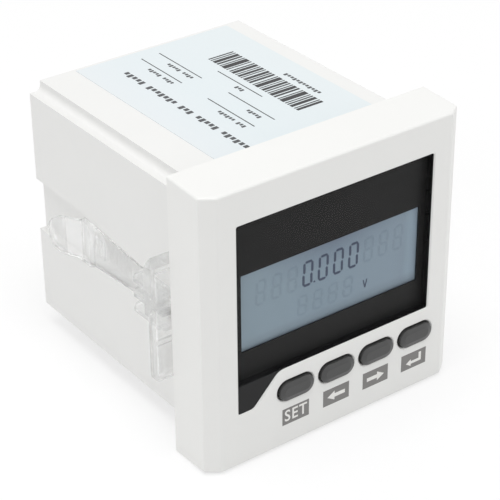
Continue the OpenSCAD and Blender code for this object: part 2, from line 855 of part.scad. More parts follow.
// Foot that presses on the panel's back: thick behind the clip's web and above it, a thin
// leg below, and three shallow hollows in its front
module clip_foot() {
    x0 = tongue_out - eps;
    x1 = housing_half + foot_reach;
    foot_w = x1 - x0;
    half = foot_h / 2;
    hollow_pitch = (foot_h - foot_rim) / 3;
    hollow_half = (hollow_pitch - foot_rim) / 2;
    difference() {
        translate([(x0 + x1) / 2, 0, clip_z]) along_y(foot_y, foot_back) {
            rounded_rect(foot_w, foot_h, foot_r);
            translate([-foot_w / 2, -half]) square([foot_w / 2, foot_h]);
        }
        translate([0, 0, clip_z]) {
            translate([0, 0, -half - 1]) linear_extrude(foot_h + 2) polygon([
                [x1 + 1, foot_y + foot_t], [x1, foot_y + foot_t],
                [x0 + root_w, foot_back], [x0 + root_w, foot_back + 1], [x1 + 1, foot_back + 1]
            ]);
            along_y(foot_y + leg_t, foot_back + 1) polygon([
                [x1 + 1, leg_top + leg_slope], [x0 - 1, leg_top - leg_slope * (foot_w + 1)],
                [x0 - 1, -half - foot_w], [x1 + 1, -half - foot_w]
            ]);
            for (k = [-1 : 1]) translate([0, 0, k * hollow_pitch])
                block([x0 + foot_rim, foot_y - 1, -hollow_half],
                    [x1 - foot_rim, foot_y + foot_hollow, hollow_half]);
        }
    }
}

module clip() {
    clip_rails();
    clip_web();
    cross_bar();
    finger_tab();
    clip_ribs();
    clip_foot();
}

module right_clip() color("azure", 0.5) clip();
module left_clip() color("azure", 0.5) mirror([1, 0, 0]) clip();

// ---- Inside ----

module main_board() color("darkgreen")
    block([-main_half, main_front_y, main_z], [main_half, main_back_y, main_top]);

// A bar on the main board with a row of pins that reach to y1
module header(y0, y1) {
    bar = y0 < y1 ? [y0, y0 + header_h] : [y0 - header_h, y0];
    block([-header_w / 2, bar[0], main_top], [header_w / 2, bar[1], main_top + header_h]);
    for (i = [0 : pins - 1]) translate([(i - (pins - 1) / 2) * pin_pitch, 0, main_top + header_h / 2])
        block([-pin_size / 2, min(y1, bar[0] + 0.5), -pin_size / 2],
            [pin_size / 2, max(y1, bar[1] - 0.5), pin_size / 2]);
}

module front_header() color([0.15, 0.15, 0.15]) header(main_front_y + header_inset, board_back_y);
module rear_header() color([0.15, 0.15, 0.15]) header(main_back_y - header_inset, terminal_front_y);

module transformer_core() color("slategray")
    translate([0, core_mid_y, main_top + core_h / 2]) difference() {
        along_y(-core_t / 2, core_t / 2) square([core_w, core_h], center = true);
        for (s = [-1, 1]) translate([s * (leg_w + slot_w) / 2, 0, 0])
            along_y(-core_t, core_t) square([slot_w, slot_h], center = true);
    }

module transformer_coil() color("goldenrod")
    translate([0, core_mid_y, main_top + core_h / 2]) difference() {
        along_y(-core_t / 2 - coil_wall, core_t / 2 + coil_wall) square([coil_w, coil_h], center = true);
        translate([0, 0, -slot_h]) linear_extrude(2 * slot_h)
            square([leg_w + 2 * slack, core_t + 2 * slack], center = true);
    }

// A can that stands on the main board, with a slimmer seal at its foot
module capacitor(x, y, r, h) translate([x, y, main_top]) {
    cylinder(r = r - slack, h = h);
    translate([0, 0, 3 * slack]) cylinder(r = r, h = h - 4 * slack);
}

module capacitors() color("midnightblue") {
    capacitor(cap_x, big_cap_y, big_cap_r, big_cap_h);
    for (i = [0, 1]) capacitor(cap_x, cap_y + i * (2 * cap_r + cap_gap), cap_r, cap_h);
}

module sense_transformer() color([0.2, 0.25, 0.4])
    block([sense_right - sense_w, sense_back - sense_l, main_top],
        [sense_right, sense_back, main_top + sense_h]);

module meter_chip() color([0.15, 0.15, 0.15])
    translate([chip_x, chip_y, main_top]) rotate([90, 0, 0]) gull_chip(chip_size, chip_t);

module terminal_board() color("darkgreen")
    block([-terminal_half, terminal_front_y, terminal_low],
        [terminal_half, terminal_back_y, terminal_high]);

function pole_x(i) = (i - (poles - 1) / 2) * pole_pitch;

// One terminal block, its wire entries upwards: entry, screw well and cage pocket at each pole
module terminal_block() {
    pocket_w = cage_w + 2 * cage_gap;
    pocket_d = cage_d + 2 * cage_gap;
    difference() {
        block([-block_w / 2, terminal_back_y, block_reach - block_d], [block_w / 2, block_y, block_reach]);
        for (i = [0 : poles - 1]) translate([pole_x(i), 0, 0]) {
            translate([0, entry_y, block_reach - entry_l - 1]) cylinder(r = entry_r, h = entry_l + 2);
            translate([0, 0, cage_mid]) {
                rod_y(screw_head_r + 0.2, well_bottom, block_y + 1);
                rod_y(clamp_screw_r + 0.15, cage_top, well_bottom + 1);
                block([-pocket_w / 2, cage_top - cage_h - cage_gap, -pocket_d / 2],
                    [pocket_w / 2, cage_top + cage_gap, pocket_d / 2]);
            }
        }
        for (i = [0 : poles]) translate([pole_x(i) - pole_pitch / 2, 0, 0])
            block([-groove_w / 2, block_y - groove_t, block_reach - block_d - 1],
                [groove_w / 2, block_y + 1, block_reach + 1]);
    }
}

module upper_terminal_block() color("seagreen")
    translate([0, 0, housing_rise]) terminal_block();

module lower_terminal_block() color("seagreen")
    translate([0, 0, housing_rise]) mirror([0, 0, 1]) terminal_block();

// Places its children at each pole of both blocks, over the cages
module at_poles() {
    for (s = [-1, 1], i = [0 : poles - 1])
        translate([pole_x(i), 0, housing_rise + s * cage_mid]) children();
}

module terminal_screws() color("silver")
    at_poles() translate([0, well_bottom + seat, 0]) {
        difference() {
            rod_y(screw_head_r, 0, screw_head_t);
            block([-3, screw_head_t - 0.7, -0.3], [3, screw_head_t + 1, 0.3]);
        }
        rod_y(clamp_screw_r, cage_top - well_bottom - seat - cage_t + seat, eps);
    }

module terminal_cages() color("gold")
    at_poles() difference() {
        along_y(cage_top - cage_h, cage_top) square([cage_w, cage_d], center = true);
        block([-cage_w / 2 + cage_t / 2, cage_top - cage_h + cage_t, -cage_d],
            [cage_w / 2 - cage_t / 2, cage_top - cage_t, cage_d]);
        rod_y(clamp_hole_r, cage_top - cage_t - 1, cage_top + 1);
    }

front_bezel();
window_lens();
lcd_frame();
lcd_cell();
contact_strip();
backlight();
display_board();
display_screws();
display_chip();
key_switches();
key_set();
key_left_arrow();
key_right_arrow();
key_enter();
plunger(0);  // plunger_set
plunger(1);  // plunger_left_arrow
plunger(2);  // plunger_right_arrow
plunger(3);  // plunger_enter
housing();
rear_cover();
cover_screws();
rating_label();
left_clip();
right_clip();
main_board();
front_header();
rear_header();
transformer_core();
transformer_coil();
capacitors();
sense_transformer();
meter_chip();
terminal_board();
upper_terminal_block();
lower_terminal_block();
terminal_screws();
terminal_cages();
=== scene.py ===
import math
import bpy
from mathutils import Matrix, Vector


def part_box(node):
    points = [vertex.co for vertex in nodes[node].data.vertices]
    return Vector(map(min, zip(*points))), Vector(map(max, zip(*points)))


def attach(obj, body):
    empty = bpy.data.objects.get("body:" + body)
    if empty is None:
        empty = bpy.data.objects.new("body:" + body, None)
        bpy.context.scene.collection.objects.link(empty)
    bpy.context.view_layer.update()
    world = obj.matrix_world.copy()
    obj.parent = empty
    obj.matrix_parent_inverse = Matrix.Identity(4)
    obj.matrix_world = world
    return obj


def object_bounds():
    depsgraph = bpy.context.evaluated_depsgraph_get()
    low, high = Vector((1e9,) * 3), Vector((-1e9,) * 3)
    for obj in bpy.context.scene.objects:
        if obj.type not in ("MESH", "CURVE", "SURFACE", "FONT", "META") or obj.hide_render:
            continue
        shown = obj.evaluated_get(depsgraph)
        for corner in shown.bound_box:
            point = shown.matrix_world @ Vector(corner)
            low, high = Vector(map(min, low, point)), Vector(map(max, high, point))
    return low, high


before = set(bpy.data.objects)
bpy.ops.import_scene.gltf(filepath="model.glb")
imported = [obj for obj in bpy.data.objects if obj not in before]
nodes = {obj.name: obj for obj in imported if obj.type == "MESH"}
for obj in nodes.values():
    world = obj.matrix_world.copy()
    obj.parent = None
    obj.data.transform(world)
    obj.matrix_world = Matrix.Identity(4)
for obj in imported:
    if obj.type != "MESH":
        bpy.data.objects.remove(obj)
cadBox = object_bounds()
mm = 0.001
print("frame loaded:", len(nodes), "nodes")


class Wire:  # one socket of a material, so that a pattern is written as a sum
    def __init__(self, tree, socket):
        self.tree = tree
        self.socket = socket

    def sum(self, kind, first, second=None):
        made = self.tree.nodes.new("ShaderNodeMath")
        made.operation = kind
        for socket, value in zip(made.inputs, (first, second)):
            if isinstance(value, Wire):
                self.tree.links.new(value.socket, socket)
            elif value is not None:
                socket.default_value = value
        return Wire(self.tree, made.outputs[0])

    def __add__(self, other):
        return self.sum("ADD", self, other)

    def __radd__(self, other):
        return self.sum("ADD", other, self)

    def __sub__(self, other):
        return self.sum("SUBTRACT", self, other)

    def __rsub__(self, other):
        return self.sum("SUBTRACT", other, self)

    def __mul__(self, other):
        return self.sum("MULTIPLY", self, other)

    def __rmul__(self, other):
        return self.sum("MULTIPLY", other, self)

    def __truediv__(self, other):
        return self.sum("DIVIDE", self, other)

    def __gt__(self, other):
        return self.sum("GREATER_THAN", self, other)

    def __lt__(self, other):
        return self.sum("LESS_THAN", self, other)

    def over(self, kind):  # a sum of one value, such as ABSOLUTE or SINE
        return self.sum(kind, self)


class Finish:
    def __init__(self, name, colour, rough, **fixed):
        self.material = bpy.data.materials.new(name)
        self.material.use_nodes = True
        self.tree = self.material.node_tree
        self.shader = self.tree.nodes["Principled BSDF"]
        self.shader.inputs["Base Color"].default_value = (*colour, 1)
        self.shader.inputs["Roughness"].default_value = rough
        for key, value in fixed.items():
            self.shader.inputs[key.replace("_", " ")].default_value = value
        self.place = self.node("ShaderNodeTexCoord", out="Object")
        self.axes = self.tree.nodes.new("ShaderNodeSeparateXYZ")
        self.tree.links.new(self.place.socket, self.axes.inputs[0])

    def feed(self, socket, value):
        if isinstance(value, Wire):
            self.tree.links.new(value.socket, socket)
        elif hasattr(value, "__len__") and len(value) == 3 and len(socket.default_value) == 4:
            socket.default_value = (*value, 1)
        else:
            socket.default_value = value

    # any node: its settings, a ramp's stops among them, are set before its sockets
    def node(self, kind, settings=None, sockets=None, out=0):
        made = self.tree.nodes.new(kind)
        for key, value in (settings or {}).items():
            if key == "stops":
                while len(made.color_ramp.elements) < len(value):
                    made.color_ramp.elements.new(1.0)
                for element, (at, shade) in zip(made.color_ramp.elements, value):
                    element.position = at
                    element.color = (*shade, 1)
            else:
                setattr(made, key, value)
        for key, value in (sockets or {}).items():
            self.feed(made.inputs[key], value)
        return Wire(self.tree, made.outputs[out])

    def axis(self, which):  # X, Y or Z in millimetres
        return Wire(self.tree, self.axes.outputs[which]) * 1000.0

    def noise(self, size, detail=2.0, seed=0.0):  # size in millimetres
        return self.node("ShaderNodeTexNoise", {"noise_dimensions": "4D"},
                         {"Vector": self.place, "Scale": 1000.0 / size, "Detail": detail, "W": seed})

    def waves(self, which, turns, shift=0.0):  # a sine along one axis, turns in radians a millimetre
        return ((self.axis(which) + shift) * turns).over("SINE")

    def ramp(self, factor, *stops):
        return self.node("ShaderNodeValToRGB", {"stops": stops}, {"Fac": factor})

    def clamp(self, value):
        return self.node("ShaderNodeClamp", {}, {"Value": value})

    def blend(self, factor, low, high):
        return self.node("ShaderNodeMix", {"data_type": "RGBA"}, {0: factor, 6: low, 7: high}, out=2)

    def colour(self, value):
        self.feed(self.shader.inputs["Base Color"], value)

    def rough(self, value):
        self.feed(self.shader.inputs["Roughness"], value)

    def alpha(self, value):
        self.feed(self.shader.inputs["Alpha"], value)

    def bump(self, height, depth, strength=1.0):  # depth in millimetres
        self.feed(self.shader.inputs["Normal"], self.node(
            "ShaderNodeBump", {}, {"Height": height, "Distance": depth * mm, "Strength": strength}))


def shaded(colour, times, lift=0.0):
    return [c * times + lift for c in colour]


def mixed(first, second, share):  # share of the second colour
    return [(1.0 - share) * a + share * b for a, b in zip(first, second)]


# 1 for what the camera sees straight, in a gloss or through something clear
def seenDirectly(tree):
    ray = tree.nodes.new("ShaderNodeLightPath")
    straight, gloss, through = [Wire(tree, ray.outputs[name])
                                for name in ("Is Camera Ray", "Is Glossy Ray", "Is Transmission Ray")]
    return straight + gloss + through


# 1 for light on its way to what lies behind, so that a clear piece lets it through
def lightPassing(f):
    shadow = f.node("ShaderNodeLightPath", out="Is Shadow Ray")
    scattered = f.node("ShaderNodeLightPath", out="Is Diffuse Ray")
    return shadow.sum("MAXIMUM", shadow, scattered)


view = {"at": (-0.2157, -0.27426, 0.21203), "turn": (59.32, 0.47, -36.56),
        "lens": 127.58, "sensor": 36.0, "near": 0.01}
room = {"floorSize": 6.0, "floor": (0.88, 0.88, 0.88), "floorRough": 0.9, "cloud": 40.0,
        "cloudShare": 0.5, "cloudTone": 0.985, "glow": 0.68, "sky": (1.0, 1.0, 1.0), "skyLevel": 0.57}
lamps = {"topLamp": {"at": (-0.2, -0.1, 1.6), "size": 1.1, "power": 15.7},
         "leftLamp": {"at": (-0.85, -0.05, 0.5), "size": 0.5, "power": 1.4},
         "rightLamp": {"at": (0.9, -0.7, 0.25), "size": 0.5, "power": 2.25}}


def clearChoice():
    if bpy.context.object and bpy.context.object.mode != "OBJECT":
        bpy.ops.object.mode_set(mode="OBJECT")
    bpy.ops.object.select_all(action="DESELECT")


def placeCamera():
    clearChoice()
    bpy.ops.object.camera_add(location=view["at"], rotation=[math.radians(a) for a in view["turn"]])
    camera = bpy.context.object
    camera.name = "camera"
    camera.data.sensor_width = view["sensor"]
    camera.data.lens = view["lens"]
    camera.data.clip_start = view["near"]
    bpy.context.scene.camera = camera
    print("camera placed")


# every lamp is turned to the middle of the bezel's back
def hangLamps():
    for name, lamp in lamps.items():
        clearChoice()
        bpy.ops.object.light_add(type="AREA", location=lamp["at"])
        made = bpy.context.object
        made.name = name
        made.data.shape = "DISK"
        made.data.size = lamp["size"]
        made.data.energy = lamp["power"]
        made.rotation_euler = (-Vector(lamp["at"])).to_track_quat("-Z", "Y").to_euler()
    print("lamps hung")


# the world is plain white to the camera, and lights the object at its own level
def lightSky():
    world = bpy.data.worlds.new("studio")
    world.use_nodes = True
    tree = world.node_tree
    light = tree.nodes["Background"]
    light.inputs["Color"].default_value = (*room["sky"], 1)
    light.inputs["Strength"].default_value = room["skyLevel"]
    white = tree.nodes.new("ShaderNodeBackground")
    white.inputs["Color"].default_value = (1, 1, 1, 1)
    white.inputs["Strength"].default_value = 1.0
    pick = tree.nodes.new("ShaderNodeMixShader")
    tree.links.new(seenDirectly(tree).socket, pick.inputs[0])
    tree.links.new(light.outputs[0], pick.inputs[1])
    tree.links.new(white.outputs[0], pick.inputs[2])
    tree.links.new(pick.outputs[0], tree.nodes["World Output"].inputs["Surface"])
    bpy.context.scene.world = world
    bpy.context.scene.view_settings.view_transform = "Standard"
    print("sky lit")


# pale floor: part of it glows white where it is seen, and the rest takes light and shadow
def layFloor():
    clearChoice()
    bpy.ops.mesh.primitive_plane_add(size=room["floorSize"], location=(0, 0, cadBox[0][2]))
    floor = bpy.context.object
    floor.name = "floor"
    f = Finish("paleFloor", room["floor"], room["floorRough"], Specular_IOR_Level=0.0)
    cloud = f.noise(room["cloud"], detail=3.0, seed=1.0) * room["cloudShare"]
    f.colour(f.blend(cloud, room["floor"], shaded(room["floor"], room["cloudTone"])))
    glow = f.node("ShaderNodeEmission", {}, {"Color": (1, 1, 1), "Strength": 1.0})
    share = f.node("ShaderNodeMixShader", {}, {0: seenDirectly(f.tree) * room["glow"]})
    mixer = share.socket.node
    f.tree.links.new(f.shader.outputs[0], mixer.inputs[1])
    f.tree.links.new(glow.socket, mixer.inputs[2])
    f.tree.links.new(share.socket, f.tree.nodes["Material Output"].inputs["Surface"])
    floor.data.materials.append(f.material)
    print("floor laid")


# sizes and depths in millimetres; soil is how much darker the flow marks are
plastics = {
    "frontPlastic": {"colour": (0.775, 0.775, 0.76), "rough": 0.46, "shine": 0.5,
                     "grain": 0.5, "grainDepth": 0.02, "soil": 0.035},
    "casePlastic": {"colour": (0.76, 0.76, 0.748), "rough": 0.42, "shine": 0.5,
                    "grain": 0.7, "grainDepth": 0.015, "soil": 0.05},
    "blackPlastic": {"colour": (0.011, 0.011, 0.011), "rough": 0.6, "shine": 0.3,
                     "grain": 1.5, "grainDepth": 0.002, "soil": 0.2},
    "terminalPlastic": {"colour": (0.035, 0.036, 0.038), "rough": 0.42, "shine": 0.5,
                        "grain": 0.6, "grainDepth": 0.02, "soil": 0.2},
}
moulding = {"cloud": 14.0, "cloudShare": 0.6, "fleck": 3.0, "fleckShare": 0.4, "uneven": 0.1,
            "relief": 0.35}


# moulded plastic: a fine spark-eroded grain, cloudy flow marks and a little uneven shine
def mouldedPlastic(name):
    p, m = plastics[name], moulding
    f = Finish(name, p["colour"], p["rough"], Specular_IOR_Level=p["shine"])
    grain = f.noise(p["grain"], detail=3.0, seed=1.0)
    cloud = f.noise(m["cloud"], detail=2.0, seed=4.0)
    fleck = f.noise(m["fleck"], detail=4.0, seed=7.0)
    marks = cloud * m["cloudShare"] + fleck * m["fleckShare"]
    f.colour(f.blend(marks, shaded(p["colour"], 1.0 - p["soil"]), p["colour"]))
    f.rough(p["rough"] - m["uneven"] / 2 + m["uneven"] * fleck)
    f.bump(grain, p["grainDepth"], m["relief"])
    return f


keyCap = {"colour": (0.0255, 0.0255, 0.0255), "rough": 0.4, "shine": 0.7, "grain": 0.35,
          "grainDepth": 0.012, "relief": 0.4, "face": 0.35, "patch": 2.2, "wear": 0.8, "paler": 1.35,
          "polish": 0.1}


# dark keys, polished a little on the face where fingers press
def keyPlastic():
    k = keyCap
    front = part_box("key_set")[0].y / mm
    f = Finish("keyPlastic", k["colour"], k["rough"], Specular_IOR_Level=k["shine"])
    worn = (f.axis("Y") < front + k["face"]) * f.noise(k["patch"], detail=3.0, seed=2.0)
    f.colour(f.blend(worn * k["wear"], k["colour"], shaded(k["colour"], k["paler"])))
    f.rough(k["rough"] - worn * k["polish"])
    f.bump(f.noise(k["grain"], detail=2.0, seed=3.0), k["grainDepth"], k["relief"])
    return f


# rim is the width of the black ink; sill is how far the pane's long lower edge is above the tongue's
lens = {"colour": (0.0095, 0.0095, 0.01), "rough": 0.05, "haze": 0.08, "shine": 0.2, "smoke": 0.12,
        "rim": 1.15, "sill": 7.3, "wipe": (60.0, 1.0, 260.0), "low": 0.85, "high": 1.15}


# smoked pane: clear over its sill, with a rim of black ink that also fills the tongue under it
def smokedLens():
    low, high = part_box("window_lens")
    f = Finish("smokedLens", lens["colour"], lens["rough"], Specular_IOR_Level=lens["shine"])
    x, z, rim = f.axis("X") - low.x / mm, f.axis("Z") - low.z / mm, lens["rim"]
    width, height = (high.x - low.x) / mm, (high.z - low.z) / mm
    clear = (x > rim) * (x < width - rim) * (z < height - rim) * (z > lens["sill"] + rim)
    ink = (1.0 - clear) * (1.0 - lightPassing(f))
    f.alpha(lens["smoke"] + ink * (1.0 - lens["smoke"]))
    stretched = f.node("ShaderNodeMapping", {}, {"Vector": f.place, "Scale": lens["wipe"]})
    smear = f.node("ShaderNodeTexNoise", {"noise_dimensions": "3D"},
                   {"Vector": stretched, "Scale": 1.0, "Detail": 3.0})
    f.colour(f.blend(smear, shaded(lens["colour"], lens["low"]), shaded(lens["colour"], lens["high"])))
    f.rough(lens["rough"] + lens["haze"] * smear)
    return f


# tints of the cell and where they stand across it, from 0 to 1; dull and shade say in millimetres
# where the upper middle gets duller and the lower edge darker, and over how much they fade
display = {"left": (0.385, 0.50, 0.585), "middle": (0.34, 0.45, 0.545), "right": (0.36, 0.465, 0.565),
           "top": (0.255, 0.33, 0.43), "low": (0.24, 0.30, 0.355), "rough": 0.35, "cloud": 9.0,
           "drift": 0.06, "tintAt": (0.0, 0.27, 0.5, 0.7, 0.93, 0.965), "early": 0.45, "late": 0.5,
           "endTone": 1.2, "dullZ": 5.5, "dullFade": 7.5, "dullX": 1.0, "dullHalf": 21.0, "dullShare": 1.3,
           "shadeZ": -8.4, "shadeFade": 4.4, "mottle": 5.0, "mottleShare": 0.12, "mottleTone": 0.8}


# grey-blue cell: its tint drifts from end to end, its middle is duller towards the top, and
# the mask's shade lies along its lower edge
def liquidCrystal():
    d = display
    low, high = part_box("lcd_cell")
    f = Finish("liquidCrystal", d["middle"], d["rough"])
    across = (f.axis("X") - low.x / mm) / ((high.x - low.x) / mm)
    cloud = f.noise(d["cloud"], detail=2.0, seed=3.0)
    tints = (d["left"], mixed(d["left"], d["middle"], d["early"]), d["middle"],
             mixed(d["middle"], d["right"], d["late"]), d["right"], shaded(d["right"], d["endTone"]))
    tint = f.ramp(across + d["drift"] * cloud, *zip(d["tintAt"], tints))
    upper = f.clamp((f.axis("Z") - d["dullZ"]) / d["dullFade"])
    central = 1.0 - ((f.axis("X") - d["dullX"]) / d["dullHalf"]).over("ABSOLUTE")
    dull = f.clamp(upper * central * d["dullShare"])
    edge = f.clamp((f.axis("Z") - d["shadeZ"] + cloud) / d["shadeFade"])
    shade = f.blend(edge, d["low"], f.blend(dull, tint, d["top"]))
    mottle = f.noise(d["mottle"], detail=2.0, seed=5.0) * d["mottleShare"]
    f.colour(f.blend(mottle, shade, shaded(d["middle"], d["mottleTone"])))
    return f


# body and rim are alphas, flat on and edge on; cast is how much of them lamps and sky meet
clip = {"colour": (1.0, 1.0, 1.0), "flow": (0.95, 0.96, 0.96), "flowSize": 6.0, "rough": 0.04,
        "haze": 0.05, "hazeSize": 4.0, "ior": 1.4, "clear": 0.9, "body": 0.6, "rim": 0.15, "turn": 0.3,
        "cast": 0.04, "ripple": 5.0, "rippleDepth": 0.05, "relief": 0.3}


# clear plastic: denser where a wall turns edge on; nearly all the light passes to what lies behind
def clearPlastic():
    c = clip
    f = Finish("clearPlastic", c["colour"], c["rough"], IOR=c["ior"], Transmission_Weight=c["clear"])
    turn = f.node("ShaderNodeLayerWeight", {}, {"Blend": c["turn"]}, out="Facing")
    cast = 1.0 - lightPassing(f) * (1.0 - c["cast"])
    f.alpha((c["body"] + c["rim"] * turn) * cast)
    f.colour(f.blend(f.noise(c["flowSize"], detail=2.0, seed=5.0), c["flow"], c["colour"]))
    f.rough(c["rough"] + c["haze"] * f.noise(c["hazeSize"], detail=2.0, seed=2.0))
    f.bump(f.noise(c["ripple"], detail=1.0, seed=8.0), c["rippleDepth"], c["relief"])
    return f


film = {"left": (0.67, 0.71, 0.73), "middle": (0.65, 0.71, 0.73), "right": (0.66, 0.715, 0.73),
        "tintAt": (0.0, 0.35, 1.0), "pale": (0.70, 0.735, 0.755), "paleSize": 9.0, "paleShare": 0.3,
        "rough": 0.35, "wave": 11.0, "waveDepth": 0.04, "relief": 0.3}


# pale blue film, a little wavy, with cloudier patches
def labelFilm():
    low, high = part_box("rating_label")
    f = Finish("labelFilm", film["middle"], film["rough"])
    along = (f.axis("X") - low.x / mm) / ((high.x - low.x) / mm)
    tint = f.ramp(along, *zip(film["tintAt"], (film["left"], film["middle"], film["right"])))
    pale = f.noise(film["paleSize"], detail=2.0, seed=5.0) * film["paleShare"]
    f.colour(f.blend(pale, tint, film["pale"]))
    f.bump(f.noise(film["wave"], detail=2.0, seed=3.0), film["waveDepth"], film["relief"])
    return f


metals = {"zincScrews": {"colour": (0.62, 0.61, 0.57), "rough": 0.3},
          "tinnedBrass": {"colour": (0.72, 0.66, 0.5), "rough": 0.28}}
plating = {"haze": 0.8, "hazeTone": 0.8, "streak": 0.25, "grain": 0.25, "grainDepth": 0.01, "relief": 0.4}


def metal(name):
    colour, rough, p = metals[name]["colour"], metals[name]["rough"], plating
    f = Finish(name, colour, rough, Metallic=1.0)
    haze = f.noise(p["haze"], detail=3.0, seed=2.0)
    f.colour(f.blend(haze, shaded(colour, p["hazeTone"]), colour))
    f.rough(rough + p["streak"] * (haze - 0.5))
    f.bump(f.noise(p["grain"], detail=2.0, seed=6.0), p["grainDepth"], p["relief"])
    return f


# lanes and turns are radians a millimetre, over which a sine marks where copper lies
board = {"mask": (0.012, 0.11, 0.045), "weave": (0.016, 0.13, 0.05), "copper": (0.03, 0.22, 0.08),
         "bend": 6.0, "bendBy": 2.5, "lanes": 2.2, "laneOver": 0.55, "turns": 0.9, "turnOver": 0.2,
         "threads": 9.0, "rough": 0.3, "uneven": 0.15, "unevenSize": 2.0, "trackDepth": 0.04, "relief": 0.6}


# circuit board: solder mask, with woven glass under it, over copper tracks that run in lanes
def circuitBoard(name, first, second):
    b = board
    f = Finish(name, b["mask"], b["rough"])
    bend = f.noise(b["bend"], detail=1.0, seed=2.0) * b["bendBy"]
    lane = f.waves(first, b["lanes"], bend) > b["laneOver"]
    turn = f.waves(second, b["turns"], bend) > b["turnOver"]
    track = lane * turn
    weave = f.waves(first, b["threads"]) * f.waves(second, b["threads"])
    ground = f.blend(weave * 0.5 + 0.5, b["mask"], b["weave"])
    f.colour(f.blend(track, ground, b["copper"]))
    f.rough(b["rough"] + b["uneven"] * f.noise(b["unevenSize"], detail=2.0, seed=3.0))
    f.bump(track, b["trackDepth"], b["relief"])
    return f


# the small inner pieces: the two colours that each pattern runs between, and its sizes
inner = {
    "chipBlack": {"low": (0.02, 0.02, 0.021), "high": (0.05, 0.05, 0.052), "rough": 0.5,
                  "speck": 0.18, "depth": 0.01, "relief": 0.5},
    "lightGuide": {"low": (0.8, 0.8, 0.77), "high": (0.92, 0.92, 0.9), "rough": 0.3,
                   "dots": 6.0, "dotOver": 0.75},
    "contactRubber": {"low": (0.5, 0.2, 0.26), "high": (0.05, 0.05, 0.05), "rough": 0.7, "stripes": 40.0},
    "laminatedSteel": {"low": (0.14, 0.15, 0.18), "high": (0.36, 0.37, 0.4), "rough": 0.45,
                       "metal": 0.8, "sheets": 12.5, "depth": 0.05, "relief": 0.6},
    "coilTape": {"low": (0.62, 0.4, 0.05), "high": (0.78, 0.56, 0.12), "rough": 0.3, "patch": 3.0,
                 "turns": 0.7, "start": 1.0, "depth": 0.06, "relief": 0.5},
    "capacitorSleeve": {"low": (0.02, 0.03, 0.1), "high": (0.55, 0.58, 0.62), "rough": 0.22,
                        "uneven": 0.1, "patch": 3.0, "stripeX": -17.4, "stripeShare": 0.9},
    "pottedCase": {"low": (0.025, 0.04, 0.12), "high": (0.04, 0.065, 0.17), "rough": 0.4,
                   "patch": 2.0, "grain": 0.5, "depth": 0.02, "relief": 0.4},
}


def chipBlack():
    p = inner["chipBlack"]
    f = Finish("chipBlack", p["low"], p["rough"])
    speck = f.noise(p["speck"], detail=2.0, seed=3.0)
    f.colour(f.blend(speck, p["low"], p["high"]))
    f.bump(speck, p["depth"], p["relief"])
    return f


# milky sheet with a grid of dots that spread the light
def lightGuide():
    p = inner["lightGuide"]
    f = Finish("lightGuide", p["low"], p["rough"])
    dots = (f.waves("X", p["dots"]) * f.waves("Z", p["dots"])) > p["dotOver"]
    f.colour(f.blend(dots, p["low"], p["high"]))
    return f


# rubber strip in layers that conduct, black, and layers that don't
def contactRubber():
    p = inner["contactRubber"]
    f = Finish("contactRubber", p["low"], p["rough"])
    f.colour(f.blend(f.waves("X", p["stripes"]) > 0.0, p["low"], p["high"]))
    return f


def laminatedSteel():
    p = inner["laminatedSteel"]
    f = Finish("laminatedSteel", p["low"], p["rough"], Metallic=p["metal"])
    sheet = f.waves("Y", p["sheets"]) * 0.5 + 0.5
    f.colour(f.blend(sheet, p["low"], p["high"]))
    f.bump(sheet, p["depth"], p["relief"])
    return f


def coilTape():
    p = inner["coilTape"]
    f = Finish("coilTape", p["low"], p["rough"])
    seam = (f.axis("Y") * p["turns"] + p["start"]).over("FRACT")
    f.colour(f.blend(f.noise(p["patch"], detail=3.0, seed=2.0), p["low"], p["high"]))
    f.bump(seam, p["depth"], p["relief"])
    return f


def capacitorSleeve():
    p = inner["capacitorSleeve"]
    f = Finish("capacitorSleeve", p["low"], p["rough"])
    stripe = f.axis("X") > p["stripeX"]
    f.colour(f.blend(stripe * p["stripeShare"], p["low"], p["high"]))
    f.rough(p["rough"] + p["uneven"] * f.noise(p["patch"], detail=2.0, seed=1.0))
    return f


def pottedCase():
    p = inner["pottedCase"]
    f = Finish("pottedCase", p["low"], p["rough"])
    f.colour(f.blend(f.noise(p["patch"], detail=3.0, seed=4.0), p["low"], p["high"]))
    f.bump(f.noise(p["grain"], detail=2.0, seed=2.0), p["depth"], p["relief"])
    return f


inks = {
    "plungerPlastic": {"colour": (0.02, 0.02, 0.02), "rough": 0.4, "alpha": 1.0},
    "patchInk": {"colour": (0.185, 0.18, 0.175), "rough": 0.55, "alpha": 1.0},
    "glyphInk": {"colour": (0.75, 0.74, 0.72), "rough": 0.55, "alpha": 1.0},
    "litInk": {"colour": (0.07, 0.095, 0.16), "rough": 0.4, "alpha": 1.0},
    "faintInk": {"colour": (0.12, 0.17, 0.22), "rough": 0.4, "alpha": 0.05},
    "labelBlackInk": {"colour": (0.02, 0.02, 0.022), "rough": 0.55, "alpha": 1.0},
    "labelGreyInk": {"colour": (0.06, 0.062, 0.066), "rough": 0.55, "alpha": 1.0},
}
inkCoat = {"speck": 0.6, "share": 0.5, "paler": 1.15, "lift": 0.004}


# an even coat, paler in specks
def flatInk(name):
    ink = inks[name]
    f = Finish(name, ink["colour"], ink["rough"], Alpha=ink["alpha"])
    speck = f.noise(inkCoat["speck"], detail=2.0, seed=1.0) * inkCoat["share"]
    f.colour(f.blend(speck, ink["colour"], shaded(ink["colour"], inkCoat["paler"], inkCoat["lift"])))
    return f


def dress(finish, *names):
    for name in names:
        mesh = nodes[name].data
        mesh.materials.clear()
        mesh.materials.append(finish.material)


keyNames = ("set", "left_arrow", "right_arrow", "enter")


